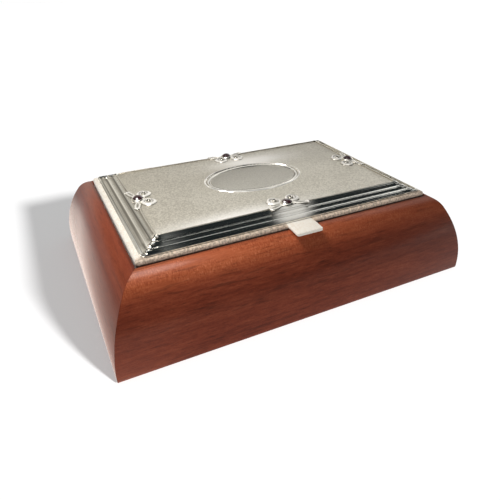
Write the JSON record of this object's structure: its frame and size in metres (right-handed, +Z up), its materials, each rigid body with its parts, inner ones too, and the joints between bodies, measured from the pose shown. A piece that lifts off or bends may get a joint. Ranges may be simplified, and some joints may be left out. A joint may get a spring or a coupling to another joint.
{
  "type": "jewellery box",
  "caption": "Wooden jewellery box with rounded mitred sides, a hinged lid covered in ivory suede and an embossed silver plate, with velvet lining, ring rolls and a divider",
  "frame": {"origin": "centre of the underside, on the surface that the box stands on", "axes": "+X along the box to its right, +Y to the back where the hinges are, +Z up; the front with the pull tab is at -Y"},
  "size_m": [0.2204, 0.1548, 0.0581],
  "materials": {
    "polished_wood": "satin lacquer",
    "plain_wood": "unfinished",
    "felt": "short nap",
    "velvet": "soft nap",
    "suede": "soft nap",
    "brass": "polished",
    "filler": "matt",
    "silver": "satin field with polished border",
    "garnet": "polished"
  },
  "bodies": {
    "case": {"front_rail": "polished_wood", "back_rail": "polished_wood", "left_rail": "polished_wood", "right_rail": "polished_wood", "mitre_splines": "plain_wood", "base_board": "plain_wood", "base_felt": "felt", "base_screws": "brass", "front_lining": "velvet", "back_lining": "velvet", "left_lining": "velvet", "right_lining": "velvet", "floor_pad": "velvet", "divider": "velvet", "ring_rolls": "velvet", "hinge_rail_leaf_left": "brass", "hinge_rail_leaf_right": "brass", "hinge_pin_left": "brass", "hinge_pin_right": "brass", "rail_leaf_screws": "brass"},
    "lid": {"hinge_lid_leaf_left": "brass", "hinge_lid_leaf_right": "brass", "lid_leaf_screws": "brass", "lid_board": "plain_wood", "lid_cover": "suede", "lid_pad": "velvet", "pull_tab": "suede", "plate_backing": "filler", "silver_plate": "silver", "stone_front": "garnet", "stone_back": "garnet", "stone_left": "garnet", "stone_right": "garnet"}
  },
  "joints": [
    {"name": "lid_hinge", "type": "hinge", "parent": "case", "child": "lid", "pos_m": [0, 0.05765, 0.0489], "axis": [-1, 0, 0], "range_deg": [0, 100]}
  ]
}
